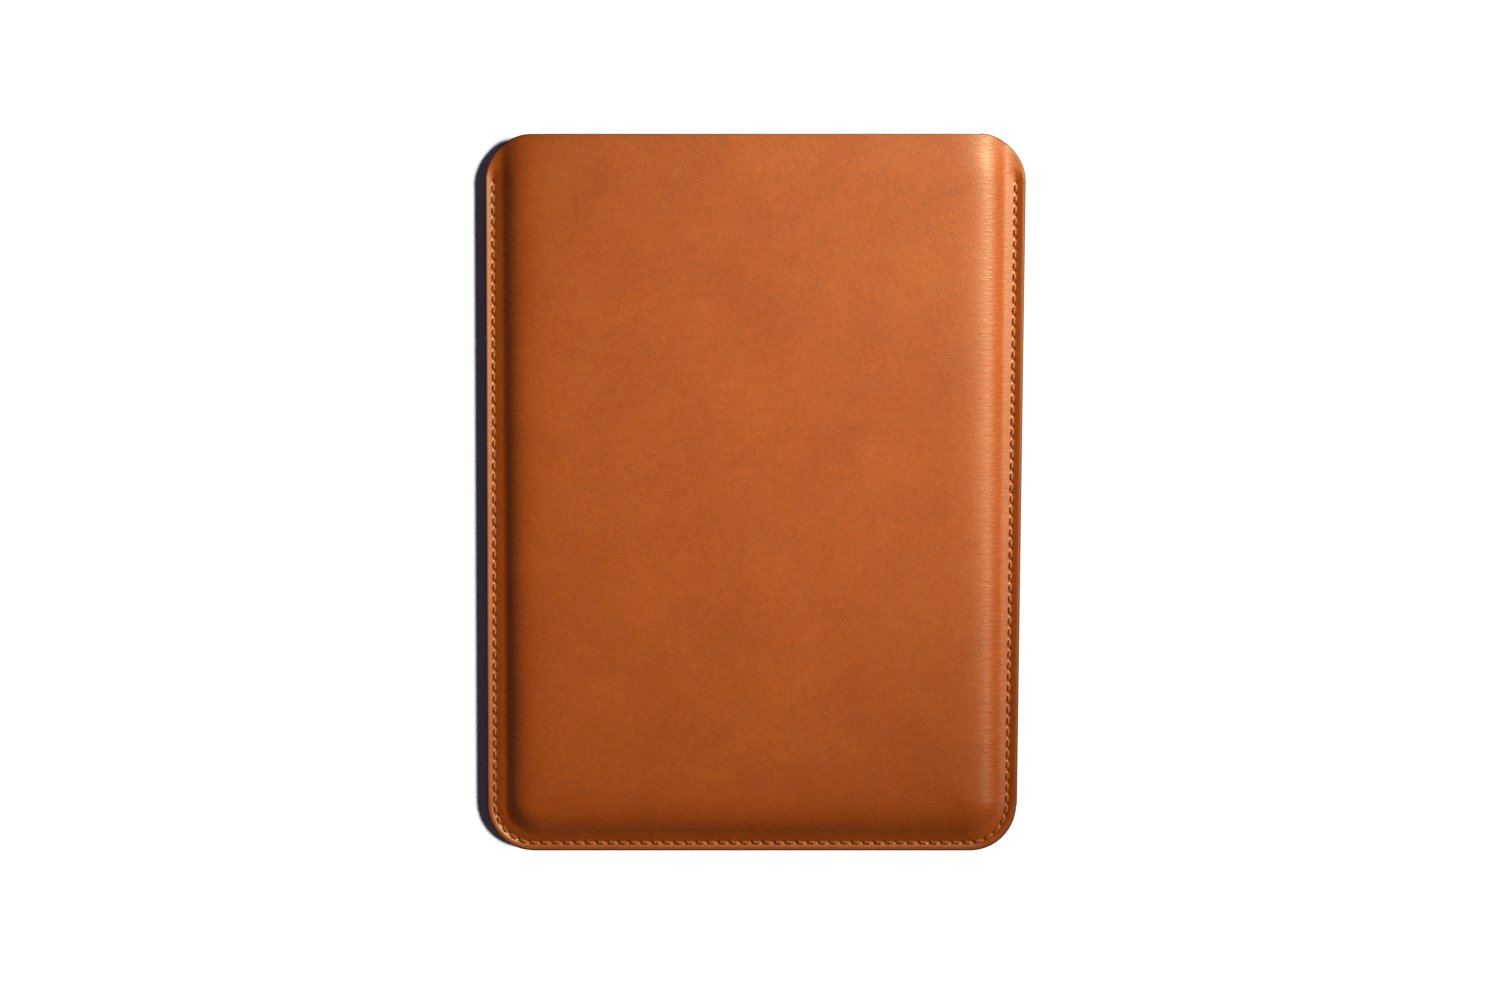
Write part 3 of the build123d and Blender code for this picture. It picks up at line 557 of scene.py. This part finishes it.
class Nodes:
    """Short helpers for a procedural material."""

    def __init__(self, name):
        self.material = bpy.data.materials.new(name)
        self.material.use_nodes = True
        self.tree = self.material.node_tree
        self.shader = self.tree.nodes["Principled BSDF"]
        self.coords = self.add("ShaderNodeTexCoord").outputs["Object"]

    def add(self, kind, **settings):
        """New node of this kind, with its settings."""
        node = self.tree.nodes.new(kind)
        for key, value in settings.items():
            setattr(node, key, value)
        return node

    def link(self, source, target):
        """Joins an output to an input."""
        self.tree.links.new(source, target)

    def stretched(self, scale):
        """Coordinates scaled along each axis."""
        mapping = self.add("ShaderNodeMapping")
        mapping.inputs["Scale"].default_value = scale
        self.link(self.coords, mapping.inputs["Vector"])
        return mapping.outputs["Vector"]

    def noise(self, scale, detail=3.0, roughness=0.5, coords=None, distortion=0.0):
        """Cloudy noise, 0 to 1."""
        node = self.add("ShaderNodeTexNoise")
        node.inputs["Scale"].default_value = scale
        node.inputs["Detail"].default_value = detail
        node.inputs["Roughness"].default_value = roughness
        node.inputs["Distortion"].default_value = distortion
        self.link(coords or self.coords, node.inputs["Vector"])
        return node.outputs["Fac"]

    def cells(self, scale, feature="F1", coords=None):
        """Distances inside a pattern of cells."""
        node = self.add("ShaderNodeTexVoronoi", feature=feature)
        node.inputs["Scale"].default_value = scale
        self.link(coords or self.coords, node.inputs["Vector"])
        return node.outputs["Distance"]

    def attribute(self, name):
        """A number painted on the mesh."""
        return self.add("ShaderNodeAttribute", attribute_name=name).outputs["Fac"]

    def ramp(self, source, low, high, first=0.3, last=0.7):
        """Turns a 0 to 1 value into a colour between low and high."""
        node = self.add("ShaderNodeValToRGB")
        node.color_ramp.elements[0].position = first
        node.color_ramp.elements[1].position = last
        node.color_ramp.elements[0].color = (*low, 1)
        node.color_ramp.elements[1].color = (*high, 1)
        self.link(source, node.inputs["Fac"])
        return node.outputs["Color"]

    def mix(self, factor, a, b, blend="MIX"):
        """Blend of two colours, each an output or a tuple."""
        node = self.add("ShaderNodeMix", data_type="RGBA", blend_type=blend)
        if isinstance(factor, float):
            node.inputs["Factor"].default_value = factor
        else:
            self.link(factor, node.inputs["Factor"])
        for source, socket in ((a, node.inputs["A"]), (b, node.inputs["B"])):
            if isinstance(source, tuple):
                socket.default_value = (*source, 1)
            else:
                self.link(source, socket)
        return node.outputs["Result"]

    def math(self, operation, a, b):
        """One operation on two values, each an output or a number."""
        node = self.add("ShaderNodeMath", operation=operation)
        for source, socket in ((a, node.inputs[0]), (b, node.inputs[1])):
            if isinstance(source, (int, float)):
                socket.default_value = source
            else:
                self.link(source, socket)
        return node.outputs["Value"]

    def span(self, source, low, high):
        """Moves a 0 to 1 value into the range low to high."""
        node = self.add("ShaderNodeMapRange")
        node.inputs["To Min"].default_value = low
        node.inputs["To Max"].default_value = high
        self.link(source, node.inputs["Value"])
        return node.outputs["Result"]

    def bumps(self, *layers):
        """Bump from (height, strength, distance in millimetres) layers."""
        normal = None
        for height, strength, distance in layers:
            node = self.add("ShaderNodeBump")
            node.inputs["Strength"].default_value = strength
            node.inputs["Distance"].default_value = distance * MM
            self.link(height, node.inputs["Height"])
            if normal is not None:
                self.link(normal, node.inputs["Normal"])
            normal = node.outputs["Normal"]
        self.link(normal, self.shader.inputs["Normal"])

    def colour(self, source):
        """Sets the surface's colour."""
        self.link(source, self.shader.inputs["Base Color"])

    def rough(self, source):
        """Sets the surface's roughness."""
        self.link(source, self.shader.inputs["Roughness"])

    def set(self, **values):
        """Sets constant values on the shader's own sockets."""
        for key, value in values.items():
            self.shader.inputs[key.replace("_", " ")].default_value = value


def leather_material():
    """Waxed full-grain leather: fine pores, soft mottling, burnished edges, suede inside."""
    m = Nodes("leather_cognac")
    mottle = m.ramp(m.noise(55, 4, 0.55, distortion=0.4), (0.112, 0.0180, 0.0002), (0.127, 0.0226, 0.0005))
    fine = m.ramp(m.noise(620, 5, 0.65), (0.90, 0.89, 0.87), (1.08, 1.09, 1.11), 0.32, 0.68)
    colour = m.mix(1.0, mottle, fine, "MULTIPLY")
    pores = m.ramp(m.cells(1250), (0.78, 0.74, 0.70), (1, 1, 1), 0.02, 0.22)
    colour = m.mix(0.6, colour, pores, "MULTIPLY")
    colour = m.mix(m.attribute("edge"), colour, (0.026, 0.007, 0.002))
    suede = m.ramp(m.noise(900, 6, 0.7), (0.055, 0.020, 0.006), (0.095, 0.038, 0.013))
    colour = m.mix(m.attribute("inside"), colour, suede)
    m.colour(colour)
    edge_dullness = m.math("MULTIPLY", m.attribute("edge"), 0.2)
    m.rough(m.math("ADD", m.span(m.noise(260, 4, 0.6), 0.41, 0.53), edge_dullness))
    wrinkles = m.noise(400, 3, 0.55, m.stretched((0.7, 2.8, 0.7)), 0.5)
    creases = m.math("MULTIPLY", wrinkles, m.math("MULTIPLY", m.attribute("bend"), 2.0))
    grain = m.noise(1500, 6, 0.62)
    pebble = m.cells(1250, "SMOOTH_F1")
    m.bumps((grain, 0.30, 0.10), (pebble, 0.22, 0.10), (creases, 0.45, 0.22))
    m.set(Specular_IOR_Level=0.5)
    return m.material


def thread_material():
    """Waxed sewing thread with fibres that follow its twist."""
    m = Nodes("thread_waxed")
    fibres = m.noise(2600, 4, 0.6, m.stretched((1, 1, 2.5)))
    m.colour(m.ramp(fibres, (0.10, 0.020, 0.002), (0.20, 0.050, 0.008), 0.3, 0.7))
    m.rough(m.span(m.noise(900, 3), 0.50, 0.68))
    m.bumps((fibres, 0.45, 0.08))
    m.set(Sheen_Weight=0.06, Specular_IOR_Level=0.35)
    return m.material


def felt_material():
    """Pressed wool felt: tangled fibres with a soft nap."""
    m = Nodes("felt_wool")
    fibres = m.noise(1400, 8, 0.72, distortion=1.6)
    clumps = m.noise(240, 4, 0.6)
    colour = m.ramp(fibres, (0.016, 0.0095, 0.0075), (0.044, 0.027, 0.022), 0.28, 0.72)
    m.colour(m.mix(0.5, colour, m.ramp(clumps, (0.7, 0.7, 0.7), (1.2, 1.2, 1.2)), "MULTIPLY"))
    m.rough(m.span(fibres, 0.85, 0.98))
    m.bumps((clumps, 0.35, 0.35), (fibres, 0.8, 0.22))
    m.set(Sheen_Weight=0.01, Sheen_Roughness=0.6, Specular_IOR_Level=0.1)
    return m.material


def moulded(name, colour, roughness, grain=1800, strength=0.12, depth=0.06, spread=0.12, **extra):
    """Moulded, cast or printed surface: fine texture with small changes of tone and gloss."""
    m = Nodes(name)
    tone = m.noise(140, 4, 0.6)
    low = tuple(c * (1 - spread) for c in colour)
    high = tuple(min(c * (1 + spread), 1) for c in colour)
    m.colour(m.ramp(tone, low, high))
    texture = m.noise(grain, 5, 0.6)
    m.rough(m.span(texture, roughness * 0.86, min(roughness * 1.14, 1)))
    m.bumps((texture, strength, depth))
    m.set(**extra)
    return m.material


def brushed(name, colour, roughness, along=(0.06, 1, 1)):
    """Metal with fine drawn lines."""
    m = Nodes(name)
    lines = m.noise(2400, 4, 0.6, m.stretched(along))
    low = tuple(c * 0.85 for c in colour)
    m.colour(m.ramp(lines, low, colour))
    m.rough(m.span(lines, roughness * 0.8, roughness * 1.25))
    m.bumps((lines, 0.15, 0.02))
    m.set(Metallic=1.0)
    return m.material


def board_material():
    """Solder mask over copper tracks and pads."""
    m = Nodes("board_mask")
    tracks = m.cells(420, "DISTANCE_TO_EDGE", m.stretched((1, 1, 0)))
    m.colour(m.ramp(tracks, (0.006, 0.085, 0.045), (0.012, 0.040, 0.026), 0.03, 0.08))
    m.rough(m.span(m.noise(700, 4), 0.28, 0.45))
    m.bumps((tracks, 0.25, 0.05))
    return m.material


def flex_material():
    """Amber film over copper tracks."""
    m = Nodes("flex_amber")
    tracks = m.noise(1500, 0, 0.5, m.stretched((1, 0.02, 0.02)))
    m.colour(m.ramp(tracks, (0.42, 0.13, 0.02), (0.62, 0.26, 0.05), 0.45, 0.55))
    m.rough(m.span(m.noise(500, 3), 0.22, 0.38))
    m.bumps((tracks, 0.3, 0.03))
    return m.material


# Crest level, relief (both in metres up the picture), waves per metre and grey of each range of hills.
PICTURE_HILLS = (
    (0.010, 0.014, 26, 0.150), (-0.012, 0.016, 19, 0.105),
    (-0.034, 0.014, 33, 0.062), (-0.050, 0.010, 24, 0.030),
)


def paper_display_material():
    """Electronic paper holding a still sleep picture: grey hills, darker towards the reader's chin."""
    m = Nodes("electronic_paper")
    parts = m.add("ShaderNodeSeparateXYZ")
    m.link(m.coords, parts.inputs["Vector"])
    up = m.math("MULTIPLY", parts.outputs["Y"], -1.0)
    sky = m.math("ADD", m.math("MULTIPLY", up, 5.0), 0.4)
    tone = m.ramp(sky, (0.235, 0.235, 0.225), (0.190, 0.190, 0.185), 0.0, 1.0)
    for crest, height, wave, grey in PICTURE_HILLS:
        ridge = m.math("MULTIPLY", m.noise(wave, 3, 0.5, m.stretched((1, 0, 0))), 2 * height)
        above = m.math("SUBTRACT", m.math("ADD", ridge, crest - height), up)
        share = m.add("ShaderNodeClamp")
        m.link(m.math("MULTIPLY", above, 5000.0), share.inputs["Value"])
        tone = m.mix(share.outputs["Result"], tone, (grey, grey, grey * 0.97))
    capsules = m.ramp(m.noise(5200, 2, 0.6), (0.93, 0.93, 0.93), (1.05, 1.05, 1.05))
    m.colour(m.mix(1.0, tone, capsules, "MULTIPLY"))
    m.rough(m.span(m.noise(2600, 3), 0.62, 0.78))
    m.bumps((m.noise(5200, 2, 0.6), 0.08, 0.03))
    return m.material


def glass_material():
    """Etched cover glass over the display."""
    m = Nodes("lens_etched")
    etch = m.noise(5200, 3, 0.6)
    m.rough(m.span(etch, 0.12, 0.22))
    m.bumps((etch, 0.04, 0.01))
    m.colour(m.ramp(etch, (0.97, 0.98, 0.98), (1, 1, 1)))
    m.set(Transmission_Weight=1.0, IOR=1.45)
    return m.material


def slot_materials():
    """One finished material for each of the record's slots."""
    black = (0.012, 0.012, 0.013)
    return {
        "leather": leather_material(),
        "felt": felt_material(),
        "thread": thread_material(),
        "paper_film": paper_display_material(),
        "lens_glass": glass_material(),
        "board": board_material(),
        "flex": flex_material(),
        "housing": moulded("housing_soft_touch", (0.016, 0.016, 0.018), 0.52, 2600, 0.22, 0.05),
        "key_cap": moulded("key_satin", (0.022, 0.022, 0.024), 0.38, 2600, 0.12, 0.04),
        "mask_ink": moulded("mask_ink", (0.010, 0.010, 0.012), 0.32, 3200, 0.05, 0.02),
        "gasket": moulded("gasket_foam", black, 0.85, 1900, 0.5, 0.08),
        "touch_glass": moulded("touch_film", (0.70, 0.74, 0.72), 0.12, 900, 0.03, 0.02),
        "adhesive": moulded("optical_adhesive", (0.82, 0.82, 0.78), 0.18, 900, 0.05, 0.02),
        "light_guide": moulded("light_guide", (0.80, 0.85, 0.88), 0.10, 1600, 0.1, 0.02),
        "backplane": moulded("backplane_glass", (0.16, 0.18, 0.15), 0.12, 1200, 0.04, 0.02),
        "chip": moulded("chip_epoxy", (0.018, 0.018, 0.020), 0.62, 3600, 0.35, 0.04),
        "lamp": moulded("lamp_phosphor", (0.34, 0.27, 0.07), 0.35, 2600, 0.15, 0.03),
        "tape": moulded("tape_foam", (0.014, 0.014, 0.015), 0.9, 2100, 0.5, 0.06),
        "cast_frame": moulded("frame_cast", (0.46, 0.47, 0.49), 0.42, 1900, 0.4, 0.05, 0.06, Metallic=0.9),
        "screw_steel": brushed("screw_black_nickel", (0.16, 0.16, 0.17), 0.28, (1, 1, 0.1)),
        "shield": brushed("shield_tinned", (0.66, 0.66, 0.65), 0.30),
        "ceramic_part": moulded("ceramic_parts", (0.34, 0.24, 0.14), 0.45, 3000, 0.2, 0.03),
        "connector": moulded("connector_nylon", (0.24, 0.22, 0.17), 0.5, 2600, 0.15, 0.03),
        "cell_pouch": moulded("cell_pouch", (0.55, 0.56, 0.58), 0.32, 420, 0.35, 0.15, 0.05, Metallic=0.8),
        "wire": moulded("wire_silicone", (0.42, 0.020, 0.015), 0.42, 2600, 0.1, 0.03),
        "pull_tape": moulded("pull_tape", (0.26, 0.26, 0.245), 0.4, 900, 0.15, 0.05),
        "port_steel": brushed("port_nickel", (0.62, 0.62, 0.63), 0.24, (1, 0.06, 1)),
        "contact": brushed("contact_gold", (0.85, 0.58, 0.20), 0.22),
        "seal": moulded("seal_silicone", black, 0.7, 1900, 0.2, 0.04),
        "clear": moulded("clear_acrylic", (0.86, 0.86, 0.86), 0.08, 900, 0.02, 0.01, 0.03,
                         Transmission_Weight=0.85),
    }


MATERIALS = slot_materials()


def finish_piece(piece, slot, body, *nodes):
    """Gives a piece its material, slot, body and the CAD nodes that it stands for."""
    piece.data.materials.clear()
    piece.data.materials.append(MATERIALS[slot])
    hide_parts(*nodes)
    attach(piece, body)
    return piece


def cad_materials():
    """Finishes every CAD node that still shows."""
    for part in frame["record"]["subparts"]:
        node = frame["nodes"][part["node"]]
        for i in range(max(len(node.material_slots), 1)):
            if i < len(node.material_slots):
                node.material_slots[i].material = MATERIALS[part["material_slot"]]
            else:
                node.data.materials.append(MATERIALS[part["material_slot"]])


# ---- The reader's display and lens ----

DISPLAY_CORNER_R, DISPLAY_BEVEL = 1.0, 0.05
LENS_CORNER_R, LENS_BEVEL, LENS_LIFT = 4.7, 0.12, 0.06


def rounded_plate(name, low, high, radius, bevel, steps=10):
    """Plate between two corners with round plan corners and a small round on its top edge."""
    corners = (
        (low[0] + radius, low[1] + radius, 180), (high[0] - radius, low[1] + radius, 270),
        (high[0] - radius, high[1] - radius, 0), (low[0] + radius, high[1] - radius, 90),
    )

    def loop(inset):
        points = []
        r = radius - inset
        for cx, cy, first in corners:
            for k in range(steps + 1):
                a = math.radians(first + 90 * k / steps)
                points.append((cx + r * math.cos(a), cy + r * math.sin(a)))
        return points

    levels = [(0.0, low[2])]
    for k in range(4):
        a = math.radians(30 * k)
        levels.append((bevel * (1 - math.cos(a)), high[2] - bevel + bevel * math.sin(a)))
    points, faces = [], []
    for inset, z in levels:
        points += [(x, y, z) for x, y in loop(inset)]
    count = 4 * (steps + 1)
    for ring in range(len(levels) - 1):
        for i in range(count):
            j = (i + 1) % count
            a, b = ring * count, (ring + 1) * count
            faces.append((a + i, a + j, b + j, b + i))
    faces.append(tuple(range(count))[::-1])
    faces.append(tuple(range((len(levels) - 1) * count, len(levels) * count)))
    return mesh_object(name, points, faces, smooth=False)


def display_stack():
    """The bonded display: its clear layers can't be told apart from above, so the picture plane shows."""
    low, high = node_box("eink_film")
    return rounded_plate("display_stack", low, high, DISPLAY_CORNER_R, DISPLAY_BEVEL)


def lens_piece():
    """Cover glass with a fine polished edge, a hair above the printed border."""
    low, high = node_box("cover_lens")
    low[2] += LENS_LIFT
    return rounded_plate("lens_glass", low, high, LENS_CORNER_R, LENS_BEVEL)


# ---- Studio ----

FRAME_WIDTH = 400.5      # width of the view at the flange's level
LENS = 85.0
SENSOR = 36.0
VIEW_OFFSET = (-0.88, -1.87)
FLOOR_HALF = 4.0

# The key from the right lights the floor too. A warm snoot grades the leather, a strip lines its shoulder.
KEY_ZENITH, KEY_POWER, KEY_COLOUR, KEY_ANGLE = 23, 3.9, (1.0, 0.99, 0.98), 6
SNOOT_AIM, SNOOT_AZIMUTH, SNOOT_ZENITH, SNOOT_REACH = (0.034, 0.054, 0.0), 42, 50, 0.9
SNOOT_POWER, SNOOT_COLOUR, SNOOT_RADIUS, SNOOT_CONE = 150.0, (1.0, 0.96, 0.56), 0.06, 22.0
STRIP_PLACE, STRIP_AIM, STRIP_SIZE = (0.45, 0.03, 0.28), (0.03, 0.01, 0.0), (0.32, 0.08)
STRIP_POWER, STRIP_COLOUR = 0.9, (1.0, 0.94, 0.68)
WORLD_POWER, WORLD_COLOUR = 0.05, (0.78, 0.66, 1.0)
BACKDROP = (0.95, 0.95, 0.95)


def add_camera():
    """Camera straight above the sleeve, looking down."""
    camera_data = bpy.data.cameras.new("camera")
    camera_data.lens, camera_data.sensor_width = LENS, SENSOR
    camera_data.clip_end = 20
    camera = bpy.data.objects.new("camera", camera_data)
    height = FRAME_WIDTH * LENS / SENSOR + SEAM_Z + FLANGE
    camera.location = (VIEW_OFFSET[0] * MM, VIEW_OFFSET[1] * MM, height * MM)
    bpy.context.scene.collection.objects.link(camera)
    bpy.context.scene.camera = camera


def add_floor():
    """White floor, in a collection that says which lights stay off it."""
    floor_mesh = bpy.data.meshes.new("floor")
    corners = [(x * FLOOR_HALF, y * FLOOR_HALF, 0) for x, y in ((-1, -1), (1, -1), (1, 1), (-1, 1))]
    floor_mesh.from_pydata(corners, [], [(0, 1, 2, 3)])
    floor_mesh.materials.append(moulded("floor_white", (0.93, 0.93, 0.93), 0.9, 40, 0.0, 0.01, 0.01,
                                        Specular_IOR_Level=0.0))
    floor = bpy.data.objects.new("floor", floor_mesh)
    bpy.context.scene.collection.objects.link(floor)
    floor.visible_glossy = False
    flagged = bpy.data.collections.new("flagged")
    flagged.objects.link(floor)
    flagged.collection_objects[0].light_linking.link_state = "EXCLUDE"
    return flagged


def aim_light(light, place, aim, flagged):
    """Puts a light at a place, turns it towards a point and keeps it off the flagged collection."""
    light.location = place
    light.rotation_mode = "QUATERNION"
    light.rotation_quaternion = (Vector(aim) - Vector(place)).to_track_quat("-Z", "Y")
    light.light_linking.receiver_collection = flagged
    bpy.context.scene.collection.objects.link(light)


def add_key():
    """Sun-like key that also makes the sleeve's shadow on the floor."""
    key_data = bpy.data.lights.new("key", "SUN")
    key_data.energy, key_data.angle = KEY_POWER, math.radians(KEY_ANGLE)
    key_data.color = KEY_COLOUR
    key = bpy.data.objects.new("key", key_data)
    key.rotation_euler = (0, math.radians(KEY_ZENITH), 0)
    key.visible_glossy = False
    bpy.context.scene.collection.objects.link(key)


def add_snoot(flagged):
    """Warm spot from the far right, brightest at the mouth's right corner."""
    snoot_data = bpy.data.lights.new("snoot", "SPOT")
    snoot_data.energy, snoot_data.color = SNOOT_POWER, SNOOT_COLOUR
    snoot_data.shadow_soft_size = SNOOT_RADIUS
    snoot_data.spot_size, snoot_data.spot_blend = math.radians(SNOOT_CONE), 1.0
    azimuth, zenith = math.radians(SNOOT_AZIMUTH), math.radians(SNOOT_ZENITH)
    level = Vector((math.cos(azimuth), math.sin(azimuth), 0))
    towards = level * math.sin(zenith) + Vector((0, 0, math.cos(zenith)))
    place = Vector(SNOOT_AIM) + towards * SNOOT_REACH
    aim_light(bpy.data.objects.new("snoot", snoot_data), place, SNOOT_AIM, flagged)


def add_strip(flagged):
    """Long soft box on the right that draws a line of light along the shoulder."""
    strip_data = bpy.data.lights.new("strip_box", "AREA")
    strip_data.shape, strip_data.size, strip_data.size_y = "RECTANGLE", STRIP_SIZE[0], STRIP_SIZE[1]
    strip_data.energy, strip_data.color = STRIP_POWER, STRIP_COLOUR
    aim_light(bpy.data.objects.new("strip_box", strip_data), STRIP_PLACE, STRIP_AIM, flagged)


def set_world():
    """Faint fill light, with a plain pale backdrop where the camera sees past the floor."""
    world = bpy.data.worlds.new("studio")
    bpy.context.scene.world = world
    world.use_nodes = True
    tree = world.node_tree
    fill = tree.nodes["Background"]
    fill.inputs["Color"].default_value = (*WORLD_COLOUR, 1)
    fill.inputs["Strength"].default_value = WORLD_POWER
    backdrop = tree.nodes.new("ShaderNodeBackground")
    backdrop.inputs["Color"].default_value = (*BACKDROP, 1)
    pick = tree.nodes.new("ShaderNodeMixShader")
    path = tree.nodes.new("ShaderNodeLightPath")
    tree.links.new(path.outputs["Is Camera Ray"], pick.inputs["Fac"])
    tree.links.new(fill.outputs["Background"], pick.inputs[1])
    tree.links.new(backdrop.outputs["Background"], pick.inputs[2])
    tree.links.new(pick.outputs["Shader"], tree.nodes["World Output"].inputs["Surface"])


def studio():
    """Camera, white floor, three lights and the world."""
    add_camera()
    flagged = add_floor()
    add_key()
    add_snoot(flagged)
    add_strip(flagged)
    set_world()
    bpy.context.scene.view_settings.view_transform = "Standard"


# ---- Putting it together ----

cad_materials()
studio()

front_leather = finish_piece(leather_panel("front_leather", False), "leather", "sleeve", "front_panel")
back_leather = finish_piece(leather_panel("back_leather", True), "leather", "sleeve", "back_panel")
front_felt = finish_piece(felt_lining("front_felt", False), "felt", "sleeve", "front_lining")
back_felt = finish_piece(felt_lining("back_felt", True), "felt", "sleeve", "back_lining")
finish_piece(stitch_row("front_thread", False), "thread", "sleeve", "front_stitching")
finish_piece(stitch_row("back_thread", True), "thread", "sleeve", "back_stitching")
finish_piece(display_stack(), "paper_film", "reader", "touch_sensor", "upper_adhesive",
             "light_guide", "lower_adhesive", "eink_film")
finish_piece(lens_piece(), "lens_glass", "reader", "cover_lens")
